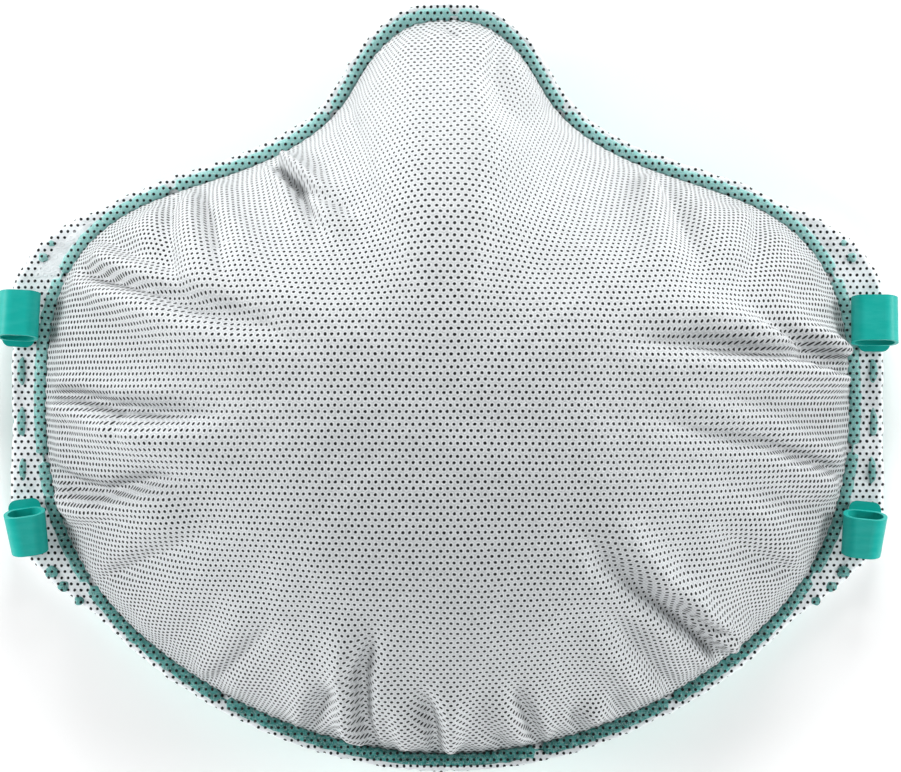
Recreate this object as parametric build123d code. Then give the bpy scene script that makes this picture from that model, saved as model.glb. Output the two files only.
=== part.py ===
"""Disposable cup dust mask, lying on its face seal with the cup upwards.

Millimetres. +Z is the front of the mask and +Y is the nose. Left (-X) and right (+X) are as seen
by somebody facing the mask. The origin is the middle of the box that the mask fills, at the
height of the table.
"""
from build123d import *
import math
import os

# ---- driving dimensions -------------------------------------------------
CUP_TOP = 51.0            # height of the cup's front above the table
SEAL_THICK = 3.0          # soft face seal under the edge
EDGE_THICK = 0.8          # layers pressed together along the edge
BAND_HALF = 1.0           # half width of the weld bead round the edge
BAND_RAISE = 0.5          # how far the bead stands out of the edge
MARGIN = 1.9              # fabric left outside the middle of the bead
EDGE_TOP = SEAL_THICK + EDGE_THICK
CUP_FOOT = EDGE_TOP + 0.2  # height of the cup's surface at the bead's middle

FLAT_TOP, FLAT_LOW = 17.0, -30.0   # the edge is level between these, at the side tabs
NOSE_RADIUS, CHIN_RADIUS = 98.7, 48.9  # side view arcs that lift the nose and the chin

# middle of the weld bead, right half from the nose down to the chin
BEAD = [(0, 61.5), (5.6, 60.8), (10.4, 57.8), (14.4, 53.0), (18.2, 47.0), (24.4, 41.5),
        (33.0, 37.2), (47.0, 32.4), (56.0, 28.0), (62.6, 21.4), (66.4, 12.6), (67.8, 0.0),
        (67.2, -13.0), (64.2, -24.6), (57.6, -35.8), (46.4, -46.2), (32.0, -54.6),
        (16.0, -60.0), (0, -61.8)]

# height of the cup's surface: share of the way to the edge, raised to these powers
SIDE_POWER, CHIN_EXTRA = 2.35, 0.65
CUP_LEVELS, CUP_POINTS = 11, 48    # outlines in the cup's loft and points in each
LOWEST_LEVEL, LEVEL_RANGE = 1.16, 1.06
RIM_REACH = 67.0          # half length of the mask, with room to cut

# layers of the cup from the outside in, with their thickness measured along Z
LAYERS = {"outer_net": 0.4, "outer_cover": 0.6, "prefilter_layer": 0.8,
          "filter_media": 1.0, "support_shell": 1.0, "inner_lining": 0.5}
CUP_THICK = sum(LAYERS.values())
FOAM_THICK = 3.5
EDGE_CLEAR = 1.4          # a layer this deep ends at the bead
EDGE_SLOPE = 0.72         # and each millimetre below that ends this much further in

NOSE_MIDDLE, NOSE_ARCH = 3.5, 40.5   # centre and radius of the arch over the nose
CLIP_WIDE, CLIP_LOW = 5.0, 24.0      # width of the nose clip and where it ends
FOAM_WIDE, FOAM_LOW = 12.0, 20.0
FOAM_INSET = 5.8          # the foam ends this far inside the bead line

SEAL_IN, EDGE_IN = -8.5, -5.0        # inner limits of the seal and the pressed edge
BEAD_GAPS = [(1.0, 61.6), (-19.7, 46.0), (19.8, 46.0), (-46.0, 32.7), (-63.4, 17.8),
             (-66.9, -12.0), (-59.2, -32.8), (-37.2, -52.7), (15.0, -60.2), (37.2, -52.0),
             (60.4, -31.5), (68.0, -10.6), (63.6, 18.0)]
GAP_LONG, GAP_REACH = 0.9, 6.0       # length of a gap in the bead, and of the cut across it
NET_CLEAR = 0.1           # between the bead and the net outside it
CORNER_SPOTS = [(66.0, 23.8, 0.7), (67.4, 21.4, 0.8), (66.0, -31.0, 1.0),
                (64.0, -33.4, 0.9), (61.4, -35.8, 0.8)]   # x, y and radius

HINGE_X = 69.05           # the side tab bends along this line beside the bead
HINGE_GAP = 0.15
CORNERS = [(40.0, 28.0), (53.0, 31.6), (62.8, 27.4), (68.4, 23.6), (72.0, 17.6),
           (72.0, -26.8), (66.2, -32.6), (47.0, -46.6), (36.0, -40.0)]
CORNER_ROUND, TAB_ROUND = 2.0, 1.2
TAB_OUT = 72.8            # outer edge of the side tabs
TAB_TOP, TAB_LOW = 17.0, -26.5
STRIP_THICK = 0.8
STRIP_IN, STRIP_OUT, STRIP_SHORT = 0.3, 0.4, 0.6   # the strip is this much smaller than the tab
SPOT_PLACES = [(71.0, 2.5), (71.0, -6.0), (71.0, -14.0)]
SPOT_LONG, SPOT_WIDE, SPOT_RAISE = 4.6, 1.2, 0.25

# strap guides: middle x and y, width at the nose end and at the chin end, length along the
# strap, lean of the loop towards the chin and turn in plan
GUIDES = {
    "left_upper": (-71.335, 11.2, 6.9, 7.0, 7.7, -13.0, -3.0),
    "left_lower": (-70.0, -23.5, 7.0, 6.2, 6.9, 19.0, 8.0),
    "right_upper": (71.05, 10.4, 7.8, 7.9, 7.7, -13.0, 0.0),
    "right_lower": (69.2, -23.9, 7.4, 6.6, 6.9, 19.0, -6.0),
}
GUIDE_DEEP, GUIDE_ROUND = 4.8, 2.3
GUIDE_WALL = 0.6
GUIDE_LIFT = 0.3          # least height of the loop over the underside of its foot
SLOT_REACH = 1.6          # the slot's cut is this many times as long as the guide
FOOT_LONG, FOOT_WIDE, FOOT_THICK, FOOT_ROUND = 9.4, 5.4, 1.0, 1.4
FOOT_RISE = 0.7           # the foot clears the mask's edge by this much
WEDGE_HALF_LONG, WEDGE_HALF_WIDE = 3.0, 2.2
POST_IN, POST_OUT, POST_LONG = 69.6, 72.2, 6.0   # the post that joins the foot to the tab

SPAN = 160.0              # larger than the mask, for cutting solids


# ---- outlines ----------------------------------------------------------
def bead_edge():
    """The closed line along the middle of the weld bead, the same left and right."""
    left = [(-x, y) for x, y in reversed(BEAD[1:-1])]
    return Spline(*BEAD, *left, periodic=True)


BEAD_EDGE = bead_edge()


def outline(grow, count=72):
    """The bead line moved outwards by grow, as a face."""
    points = []
    for i in range(count):
        here = BEAD_EDGE.position_at(i / count)
        along = BEAD_EDGE.tangent_at(i / count)
        points.append((here.X - along.Y * grow, here.Y + along.X * grow))
    return make_face(Spline(*points, periodic=True))


def ring(inner, outer):
    """A band in plan between two lines beside the bead line."""
    return outline(outer) - outline(inner)


def prism(face):
    """A plan shape made into a tall solid."""
    return extrude(face, amount=SPAN / 2, both=True)


def rim_profile(lift):
    """Side view line that the edge follows, lifted square to itself."""
    nose, chin = NOSE_RADIUS - lift, CHIN_RADIUS - lift
    nose_turn = math.degrees(math.asin((RIM_REACH - FLAT_TOP) / nose))
    chin_turn = math.degrees(math.asin((RIM_REACH + FLAT_LOW) / chin))
    low_arc = CenterArc((FLAT_LOW, CHIN_RADIUS), chin, 270 - chin_turn, chin_turn)
    level = Line((FLAT_LOW, lift), (FLAT_TOP, lift))
    top_arc = CenterArc((FLAT_TOP, NOSE_RADIUS), nose, 270, nose_turn)
    return low_arc, level, top_arc


def rim_slab(low, high):
    """Everything between two heights above the curved line that the mask rests on."""
    under, over = rim_profile(low), rim_profile(high)
    chin_end = Line(under[0] @ 0, over[0] @ 0)
    nose_end = Line(under[2] @ 1, over[2] @ 1)
    side = make_face(Wire([*under, nose_end, *over, chin_end]))
    return extrude(Plane.YZ * side, amount=SPAN / 2, both=True)


def on_rim(face, low, high):
    """A plan shape as a solid that follows the edge's side view curve."""
    return prism(face) & rim_slab(low, high)


# ---- cup surface -------------------------------------------------------
def rim_height(y):
    """Height above the table of the line that the edge follows."""
    up = max(y - FLAT_TOP, 0)
    down = max(FLAT_LOW - y, 0)
    nose = NOSE_RADIUS - math.sqrt(NOSE_RADIUS**2 - up**2)
    chin = CHIN_RADIUS - math.sqrt(CHIN_RADIUS**2 - down**2)
    return nose + chin


def bead_by_angle():
    """Points on the bead line, ordered by their angle round the middle."""
    points = [BEAD_EDGE.position_at(i / 720) for i in range(720)]
    return sorted((math.atan2(p.Y, p.X), math.hypot(p.X, p.Y)) for p in points)


BEAD_POLAR = bead_by_angle()


def bead_radius(angle):
    """Distance from the middle to the bead line at an angle."""
    after = next((i for i, (a, r) in enumerate(BEAD_POLAR) if a >= angle), 0)
    (a0, r0), (a1, r1) = BEAD_POLAR[after - 1], BEAD_POLAR[after]
    turn = (angle - a0) / (a1 - a0) if a1 > a0 else 0
    return r0 + (r1 - r0) * turn


def cup_level(height):
    """The cup's outline at one height, wider than the bead line where it is below the edge."""
    points = []
    for i in range(CUP_POINTS):
        angle = 2 * math.pi * i / CUP_POINTS - math.pi
        reach = bead_radius(angle)
        power = SIDE_POWER + CHIN_EXTRA * max(-math.sin(angle), 0)**2
        foot = rim_height(reach * math.sin(angle)) + CUP_FOOT
        share = ((CUP_TOP - height) / (CUP_TOP - foot)) ** (1 / power)
        points.append((reach * share * math.cos(angle), reach * share * math.sin(angle)))
    return Plane.XY.offset(height) * make_face(Spline(*points, periodic=True))


def cup_mound():
    """All the space under the cup's outer surface, down to below the table."""
    shares = [LOWEST_LEVEL - i * LEVEL_RANGE / (CUP_LEVELS - 1) for i in range(CUP_LEVELS)]
    heights = [CUP_TOP - (CUP_TOP - CUP_FOOT) * share**SIDE_POWER for share in shares]
    return loft([cup_level(height) for height in heights])


CUP_MOUND = cup_mound()


def cup_layer(plan, start, thick):
    """One layer of the cup within a plan, from a depth under its outer surface down."""
    column = prism(plan)
    over = CUP_MOUND.moved(Location((0, 0, -start))) & column
    under = CUP_MOUND.moved(Location((0, 0, -start - thick))) & column
    return over - under


# ---- pieces of the cup -------------------------------------------------
def nose_arch(wide, low):
    """A strip in plan that arches over the nose, ending on a level line."""
    arch = Circle(NOSE_ARCH + wide / 2) - Circle(NOSE_ARCH - wide / 2)
    return Pos(0, NOSE_MIDDLE) * arch & Pos(0, low + SPAN / 4) * Rectangle(SPAN, SPAN / 2)


def layer_plan(depth):
    """Plan of a layer whose underside is at a depth, ending where it meets the edge."""
    return outline(-BAND_HALF - EDGE_SLOPE * max(depth - EDGE_CLEAR, 0))


def cup_layers():
    """The six layers, with the nose clip lying in a slot through the prefilter."""
    pieces, start = {}, 0.0
    clip_plan = nose_arch(CLIP_WIDE, CLIP_LOW)
    for name, thick in LAYERS.items():
        plan = layer_plan(start + thick)
        if name == "prefilter_layer":
            pieces["nose_clip"] = cup_layer(clip_plan, start, thick)
            plan -= clip_plan
        pieces[name] = cup_layer(plan, start, thick)
        start += thick
    return pieces


def nose_foam():
    """Soft pad under the lining that closes the gap beside the nose."""
    plan = nose_arch(FOAM_WIDE, FOAM_LOW) & outline(-FOAM_INSET)
    return cup_layer(plan, CUP_THICK, FOAM_THICK)


# ---- pieces of the edge ------------------------------------------------
def tab_plan():
    """Both side tabs in plan, with the corners that join them to the edge."""
    right = fillet(make_face(Polyline(*CORNERS, close=True)).vertices(), CORNER_ROUND)
    return right + mirror(right, about=Plane.YZ)


def edge_plan():
    """The edge and tab corners in plan, as far as the lines the tabs bend on."""
    within = Rectangle(2 * (HINGE_X - HINGE_GAP), SPAN)
    return (outline(MARGIN) + tab_plan()) & within


def pressed_edge():
    """All layers pressed together round the cup."""
    return on_rim(edge_plan() - outline(EDGE_IN), SEAL_THICK, EDGE_TOP)


def weld_bead():
    """The raised bead, in runs with a short gap between them."""
    cuts = Sketch() + [Pos(*gap) * Rot(Z=math.degrees(math.atan2(gap[1], gap[0])))
                       * Rectangle(GAP_REACH, GAP_LONG) for gap in BEAD_GAPS]
    return on_rim(ring(-BAND_HALF, BAND_HALF) - cuts, EDGE_TOP, EDGE_TOP + BAND_RAISE)


def net_margin():
    """The net's cut edge outside the bead."""
    spots = Sketch() + corner_spot_plans()
    plan = edge_plan() - outline(BAND_HALF + NET_CLEAR) - spots
    return on_rim(plan, EDGE_TOP, EDGE_TOP + SPOT_RAISE)


def corner_spot_plans():
    """Round weld spots above the upper guides and below the lower ones."""
    return [Pos(side * x, y) * Circle(r) for side in (1, -1) for x, y, r in CORNER_SPOTS]


def face_seal():
    """Soft ring under the edge that lies against the face."""
    return on_rim(ring(SEAL_IN, BAND_HALF), 0, SEAL_THICK)


# ---- pieces of a side tab ----------------------------------------------
def tab_half(side, inner, outer, short=0.0):
    """The part of one tab that bends, between two distances from the middle."""
    middle, width = (inner + outer) / 2, outer - inner
    tall, low = TAB_TOP - short, TAB_LOW + short
    face = Pos(middle, (tall + low) / 2) * RectangleRounded(width, tall - low, TAB_ROUND)
    return face if side > 0 else mirror(face, about=Plane.YZ)


def tab_spots(side):
    """Long weld spots between the two guides."""
    return [Pos(side * x, y) * Rot(Z=90) * SlotOverall(SPOT_LONG, SPOT_WIDE)
            for x, y in SPOT_PLACES]


def tab_pieces(side):
    """Fabric flap, moulded strip under it and weld spots on it."""
    inner = HINGE_X + HINGE_GAP
    fabric = tab_half(side, inner, TAB_OUT)
    strip = tab_half(side, inner + STRIP_IN, TAB_OUT - STRIP_OUT, STRIP_SHORT)
    spots = Sketch() + tab_spots(side)
    return {
        "tab_fabric": extrude(Plane.XY.offset(SEAL_THICK) * fabric, amount=EDGE_THICK),
        "tab_strip": extrude(Plane.XY.offset(SEAL_THICK - STRIP_THICK) * strip,
                             amount=STRIP_THICK),
        "weld_spots": extrude(Plane.XY.offset(EDGE_TOP) * spots, amount=SPOT_RAISE),
    }


# ---- strap guides ------------------------------------------------------
def rounded_tube(top_wide, low_wide, deep, length, radius):
    """A flattened tube along Y whose ends may differ in width, standing on Z = 0."""
    ends = [Plane.XZ.offset(-length / 2) * Pos(0, deep / 2)
            * RectangleRounded(top_wide, deep, radius),
            Plane.XZ.offset(length / 2) * Pos(0, deep / 2)
            * RectangleRounded(low_wide, deep, radius)]
    return loft(ends)


def strap_guide(name):
    """An open loop for the strap, on a wedge and a post that stand on the tab."""
    x, y, top_wide, low_wide, length, lean, turn = GUIDES[name]
    side = 1 if x > 0 else -1
    slope = math.tan(math.radians(lean))
    outer = rounded_tube(top_wide, low_wide, GUIDE_DEEP, length, GUIDE_ROUND)
    slot = rounded_tube(top_wide - 2 * GUIDE_WALL, low_wide - 2 * GUIDE_WALL,
                        GUIDE_DEEP - 2 * GUIDE_WALL, length * SLOT_REACH,
                        GUIDE_ROUND - GUIDE_WALL)
    rise = abs(slope) * length / 2 + GUIDE_LIFT
    tilt = Pos(0, 0, rise) * Rot(X=lean)
    foot = extrude(RectangleRounded(FOOT_WIDE, FOOT_LONG, FOOT_ROUND), amount=FOOT_THICK)
    reach, crest = WEDGE_HALF_LONG, rise + GUIDE_DEEP / 2
    wedge_side = Polyline((-reach, 0), (reach, 0), (reach, crest + reach * slope),
                          (-reach, crest - reach * slope), close=True)
    wedge = extrude(Plane.YZ * make_face(wedge_side), amount=WEDGE_HALF_WIDE, both=True)
    loop = tilt * outer + foot + wedge - tilt * Pos(0, 0, GUIDE_WALL) * slot
    loop = Pos(x, y, EDGE_TOP + FOOT_RISE) * Rot(Z=turn) * loop
    post_plan = Rectangle(POST_OUT - POST_IN, POST_LONG)
    post = extrude(post_plan, amount=FOOT_RISE + FOOT_THICK / 2)
    return loop + Pos(side * (POST_IN + POST_OUT) / 2, y, EDGE_TOP) * post


# ---- the whole mask ----------------------------------------------------
def all_pieces():
    """Every separate piece of the mask by its name."""
    pieces = cup_layers()
    pieces["nose_foam"] = nose_foam()
    pieces["pressed_edge"] = pressed_edge()
    pieces["weld_bead"] = weld_bead()
    pieces["net_margin"] = net_margin()
    pieces["corner_weld_spots"] = on_rim(Sketch() + corner_spot_plans(), EDGE_TOP,
                                         EDGE_TOP + SPOT_RAISE)
    pieces["face_seal"] = face_seal()
    for word, side in (("left", -1), ("right", 1)):
        for name, solid in tab_pieces(side).items():
            pieces[f"{word}_{name}"] = solid
    for name in GUIDES:
        pieces[f"{name}_strap_guide"] = strap_guide(name)
    return pieces


os.makedirs("parts", exist_ok=True)
for name, solid in all_pieces().items():
    solid.label = name
    export_step(solid, f"parts/{name}.step")
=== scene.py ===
"""Finish for a cup-shaped dust mask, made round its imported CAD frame.

Lengths are in millimetres unless a name or a comment says otherwise. Meshes are written in metres.
"""
import math

import bpy
import numpy as np
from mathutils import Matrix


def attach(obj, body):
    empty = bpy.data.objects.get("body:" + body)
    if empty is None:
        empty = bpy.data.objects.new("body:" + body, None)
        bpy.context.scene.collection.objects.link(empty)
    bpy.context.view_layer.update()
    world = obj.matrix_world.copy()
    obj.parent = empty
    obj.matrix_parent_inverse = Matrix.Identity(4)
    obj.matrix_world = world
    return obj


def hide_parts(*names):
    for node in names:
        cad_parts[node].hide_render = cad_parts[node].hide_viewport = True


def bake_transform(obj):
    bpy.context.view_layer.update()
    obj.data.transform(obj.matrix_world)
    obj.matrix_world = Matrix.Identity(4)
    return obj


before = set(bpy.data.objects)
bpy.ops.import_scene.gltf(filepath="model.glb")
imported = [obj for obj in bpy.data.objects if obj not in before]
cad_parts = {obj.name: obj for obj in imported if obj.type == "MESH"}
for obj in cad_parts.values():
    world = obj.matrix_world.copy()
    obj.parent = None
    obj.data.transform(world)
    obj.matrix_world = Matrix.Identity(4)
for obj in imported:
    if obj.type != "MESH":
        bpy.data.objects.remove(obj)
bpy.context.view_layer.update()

bl_info = {
    "name": "Cup dust mask finish",
    "version": (1, 0, 0),
    "blender": (4, 5, 0),
    "location": "3D View > Sidebar > Dust mask",
    "description": "Net cover, weld bead, strap guides, seal, lining and studio for a dust mask",
    "category": "Object",
}

MM = 0.001
TAU = 2 * math.pi
RIM_COUNT = 720           # points round the edge
FAR = 1e9                 # farther than any point of the mask
SHEET_UNIT = 100.0        # millimetres of flat sheet in one unit of its map

# ---- shape shared with the CAD frame ----------------------------------
CUP_TOP = 51.0
SIDE_POWER, CHIN_EXTRA = 2.35, 0.65   # how fast the cup falls off towards the sides and the chin
SEAL_THICK, EDGE_THICK = 3.0, 0.8
EDGE_TOP = SEAL_THICK + EDGE_THICK
CUP_FOOT = EDGE_TOP + 0.2
FLAT_TOP, FLAT_LOW = 17.0, -30.0
NOSE_RADIUS, CHIN_RADIUS = 98.7, 48.9
LINING_DEPTH = 3.8        # underside of the stiff shell, under the cup's outer surface
NOSE_MIDDLE, NOSE_ARCH = 3.5, 40.5
MARGIN = 1.9              # fabric outside the bead, where there is no tab
EDGE_IN = -5.0            # inner limit of the edge fabric, from the bead's line
SEAL_IN, SEAL_OUT = -8.5, 1.0
CLEAR = 0.02              # the edge fabric lies this far over the seal

# Right half of the bead's line, the right tab's outline and the gaps between the runs of bead.
BEAD = [(0, 61.5), (5.6, 60.8), (10.4, 57.8), (14.4, 53.0), (18.2, 47.0), (24.4, 41.5),
        (33.0, 37.2), (47.0, 32.4), (56.0, 28.0), (62.6, 21.4), (66.4, 12.6), (67.8, 0.0),
        (67.2, -13.0), (64.2, -24.6), (57.6, -35.8), (46.4, -46.2), (32.0, -54.6),
        (16.0, -60.0), (0, -61.8)]
TAB_CORNERS = [(40.0, 28.0), (53.0, 31.6), (62.8, 27.4), (68.4, 23.6), (72.4, 17.6),
               (72.8, -26.0), (66.2, -32.6), (47.0, -46.6), (36.0, -40.0)]
BEAD_GAPS = [(1.0, 61.6), (-19.7, 46.0), (19.8, 46.0), (-46.0, 32.7), (-63.4, 17.8),
             (-66.9, -12.0), (-59.2, -32.8), (-37.2, -52.7), (15.0, -60.2), (37.2, -52.0),
             (60.4, -31.5), (68.0, -10.6), (63.6, 18.0)]

# Folds of the cover: points from the edge inwards, depth (minus for a ridge), half width,
# and the side on which the cloth bulges beside the fold (1 is to the left of the way inwards).
FOLDS = [
    ([(-59.5, 18.6), (-43.0, 13.6), (-30.0, 9.8), (-20.0, 4.6)], 1.9, 1.2, -1),
    ([(-65.8, -1.2), (-60.0, -1.8), (-54.0, -3.6), (-44.0, -4.8), (-33.0, -5.0)], 1.9, 1.0, -1),
    ([(-53.0, -4.0), (-51.4, -7.4), (-50.6, -11.0)], 0.7, 0.7, 1),
    ([(-65.0, -14.0), (-60.6, -16.6), (-56.0, -17.4), (-48.0, -15.4), (-38.0, -13.4)],
     2.1, 1.2, -1),
    ([(-62.0, -9.4), (-46.0, -8.6), (-26.0, -9.0)], -1.2, 3.0, 0),
    ([(-60.0, -22.6), (-48.0, -20.6), (-36.0, -18.6)], 0.8, 1.4, 1),
    ([(-56.0, -31.5), (-45.0, -26.6), (-34.5, -21.6)], 1.0, 1.6, 1),
    ([(-40.6, -50.0), (-34.0, -44.6), (-26.0, -36.6)], 0.8, 1.2, 1),
    ([(-29.4, 37.6), (-25.0, 32.4), (-21.6, 27.0), (-19.0, 21.6)], 2.0, 0.8, 1),
    ([(-26.6, 34.2), (-20.0, 29.6), (-12.0, 27.4)], 1.2, 0.8, -1),
    ([(-45.4, 31.8), (-45.4, 19.6), (-38.8, 9.4)], 1.0, 1.4, 1),
    ([(-41.0, 33.4), (-36.0, 17.8), (-31.0, 11.0)], 0.8, 1.2, 1),
    ([(-57.0, 24.6), (-50.0, 20.6), (-41.0, 18.0)], 0.9, 1.2, -1),
    ([(8.4, 57.6), (7.2, 51.0), (9.6, 45.0), (15.6, 39.6)], 1.0, 1.5, 1),
    ([(-1.4, 59.4), (3.8, 55.8)], 0.4, 0.6, 1),
    ([(34.6, 35.6), (39.4, 24.4), (43.6, 14.4)], 1.0, 1.4, -1),
    ([(52.0, 29.0), (50.0, 20.0), (46.0, 13.0)], 0.8, 1.3, -1),
    ([(66.4, 2.8), (59.0, 5.8), (52.0, 9.8), (45.6, 13.0)], 2.6, 1.0, 1),
    ([(66.6, 1.8), (58.0, 4.6), (51.0, 5.4), (38.0, 7.4), (25.0, 6.4)], 2.3, 1.1, -1),
    ([(65.0, -1.4), (50.0, 2.6), (28.0, 2.8)], -1.2, 2.2, 0),
    ([(66.2, -14.8), (51.0, -9.0), (38.0, -6.2), (28.0, -4.6)], 1.2, 1.0, -1),
    ([(65.0, -21.0), (52.0, -17.0), (40.0, -13.6)], 0.7, 1.4, -1),
    ([(56.8, -30.6), (50.0, -27.2), (41.0, -21.6)], 1.1, 1.4, -1),
    ([(46.2, -45.6), (40.4, -40.4), (32.0, -33.8), (25.0, -27.6), (19.0, -21.0)], 2.7, 1.1, -1),
    ([(44.4, -39.4), (38.4, -36.6), (33.4, -31.2)], 1.5, 0.8, -1),
    ([(49.6, -41.4), (44.0, -34.4), (37.6, -28.4)], -1.2, 2.2, 0),
    ([(38.0, -50.6), (31.6, -43.6), (24.6, -34.6)], 1.2, 1.2, 1),
    ([(29.6, -55.2), (25.4, -49.0)], 0.7, 0.8, 1),
    ([(15.4, -59.6), (12.4, -52.6), (9.6, -46.8)], 1.3, 0.8, 1),
    ([(22.0, -58.0), (19.4, -51.0)], 0.9, 0.8, -1),
    ([(9.4, -60.6), (7.6, -55.4)], 0.7, 0.6, 1),
    ([(-11.4, -60.0), (-13.6, -54.0), (-13.8, -46.0), (-10.8, -37.0)], 2.2, 0.9, 1),
    ([(-1.6, -61.0), (-2.2, -55.0), (-4.6, -47.6)], 1.7, 0.9, -1),
    ([(-6.6, -60.6), (-8.0, -53.0), (-7.4, -45.0)], -1.0, 1.6, 0),
    ([(-23.0, -57.6), (-20.4, -51.6), (-16.0, -45.0)], 1.0, 1.0, 1),
]


def closed_spline(points, count):
    """Evenly spaced points on the smooth closed line through the given ones."""
    knots = np.array(points, float)
    total = len(knots)
    ring = np.vstack([knots, knots[:1]])
    spans = np.linalg.norm(np.diff(ring, axis=0), axis=1)
    places = np.concatenate([[0], np.cumsum(spans)])
    matrix, right = np.zeros((total, total)), np.zeros((total, 2))
    for i in range(total):
        before, after = spans[i - 1], spans[i]
        matrix[i, i - 1] += before
        matrix[i, i] += 2 * (before + after)
        matrix[i, (i + 1) % total] += after
        rise = (ring[i + 1] - ring[i]) / after - (ring[i] - knots[i - 1]) / before
        right[i] = 6 * rise
    bend = np.linalg.solve(matrix, right)
    bend = np.vstack([bend, bend[:1]])

    def at(where):
        k = np.clip(np.searchsorted(places, where, side="right") - 1, 0, total - 1)
        a, b = (places[k + 1] - where)[:, None], (where - places[k])[:, None]
        h = spans[k][:, None]
        curve = (bend[k] * a**3 + bend[k + 1] * b**3) / (6 * h)
        line = (ring[k] / h - bend[k] * h / 6) * a + (ring[k + 1] / h - bend[k + 1] * h / 6) * b
        return curve + line

    dense = at(np.linspace(0, places[-1], 8 * count, endpoint=False))
    steps = np.linalg.norm(np.roll(dense, -1, 0) - dense, axis=1)
    length = np.concatenate([[0], np.cumsum(steps)])
    wanted = np.linspace(0, length[-1], count, endpoint=False)
    closed = np.vstack([dense, dense[:1]])
    return np.stack([np.interp(wanted, length, closed[:, i]) for i in (0, 1)], axis=1)


RIM = closed_spline(BEAD + [(-x, y) for x, y in BEAD[-2:0:-1]], RIM_COUNT)
_ALONG = np.roll(RIM, -1, 0) - np.roll(RIM, 1, 0)
_ALONG /= np.linalg.norm(_ALONG, axis=1)[:, None]
OUTWARD = np.stack([-_ALONG[:, 1], _ALONG[:, 0]], axis=1)
RIM_ANGLE = np.arctan2(RIM[:, 1], RIM[:, 0])
RIM_REACH = np.linalg.norm(RIM, axis=1)
RIM_STEP = np.linalg.norm(RIM[1] - RIM[0])


def edge_height(y, lift=0.0):
    """Height above the table of the edge's curved line, lifted square to itself."""
    up, down = np.clip(y - FLAT_TOP, 0, None), np.clip(FLAT_LOW - y, 0, None)
    nose = NOSE_RADIUS - np.sqrt((NOSE_RADIUS - lift)**2 - up**2) - lift
    chin = CHIN_RADIUS - np.sqrt((CHIN_RADIUS - lift)**2 - down**2) - lift
    return nose + chin + lift


def rim_reach(angle):
    """Distance from the middle to the bead's line, by angle."""
    order = np.argsort(RIM_ANGLE)
    return np.interp(angle, RIM_ANGLE[order], RIM_REACH[order], period=TAU)


def cup_height(x, y):
    """Height of the cup's outer surface over the table."""
    angle = np.arctan2(y, x)
    reach = rim_reach(angle)
    power = SIDE_POWER + CHIN_EXTRA * np.clip(-np.sin(angle), 0, None)**2
    foot = edge_height(reach * np.sin(angle)) + CUP_FOOT
    share = np.clip(np.hypot(x, y) / reach, 0, 1.1)
    return CUP_TOP - (CUP_TOP - foot) * share**power


def inside_distance(points):
    """How far each point in plan is from the bead's line."""
    flat = points.reshape(-1, 2)
    near = np.full(len(flat), FAR)
    for start in range(0, RIM_COUNT, 4):
        near = np.minimum(near, ((flat - RIM[start])**2).sum(1))
    return np.sqrt(near).reshape(points.shape[:-1])


SHEET_HALF, SHEET_STEP = 76.0, 0.5
EDGE_DRAWN = 7.0          # spare cloth gathered in beside the bead
_axis = np.arange(-SHEET_HALF, SHEET_HALF + SHEET_STEP, SHEET_STEP)
_X, _Y = np.meshgrid(_axis, _axis, indexing="ij")
_Z = cup_height(_X, _Y)
_middle = len(_axis) // 2
_du = np.sqrt(1 + np.gradient(_Z, SHEET_STEP, axis=0)**2) * SHEET_STEP
_dv = np.sqrt(1 + np.gradient(_Z, SHEET_STEP, axis=1)**2) * SHEET_STEP
SHEET_U = np.cumsum(_du, axis=0) - np.cumsum(_du, axis=0)[_middle]
SHEET_V = np.cumsum(_dv, axis=1) - np.cumsum(_dv, axis=1)[:, _middle][:, None]


def on_sheet(points):
    """Where points in plan were on the flat cover before it was pressed over the cup."""
    place = (points + SHEET_HALF) / SHEET_STEP
    low = np.clip(place.astype(int), 0, len(_axis) - 2)
    part = place - low
    i, j = low[..., 0], low[..., 1]
    a, b = part[..., 0], part[..., 1]
    found = []
    for grid in (SHEET_U, SHEET_V):
        found.append(grid[i, j] * (1 - a) * (1 - b) + grid[i + 1, j] * a * (1 - b)
                     + grid[i, j + 1] * (1 - a) * b + grid[i + 1, j + 1] * a * b)
    reach = np.linalg.norm(points, axis=-1)
    share = reach / rim_reach(np.arctan2(points[..., 1], points[..., 0]))
    drawn = EDGE_DRAWN * share**5 / np.clip(reach, 1e-6, None)
    return np.stack(found, axis=-1) + points * drawn[..., None]


def smooth(low, high, value):
    """0 below low, 1 above high, and smooth between them."""
    t = np.clip((value - low) / (high - low), 0, 1)
    return t * t * (3 - 2 * t)


def waves(places, seed, slowest, fastest, falloff=0.0):
    """A smooth random line that joins up with itself, for places counted in whole turns."""
    draw = np.random.default_rng(seed)
    total = np.zeros_like(places)
    for k in range(slowest, fastest):
        height = draw.normal() * (k / slowest)**-falloff
        total += height * np.sin(TAU * (k * places + draw.random()))
    return total / math.sqrt(fastest - slowest)


def cloth_noise(x, y, seed, size, count=26):
    """A smooth random surface made of plain waves about as long as size."""
    draw = np.random.default_rng(seed)
    total = np.zeros_like(x)
    for _ in range(count):
        turn, length = draw.random() * TAU, size * (0.7 + draw.random())
        phase = draw.random() * TAU
        total += np.sin(TAU * (x * math.cos(turn) + y * math.sin(turn)) / length + phase)
    return total / math.sqrt(count / 2)


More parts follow.
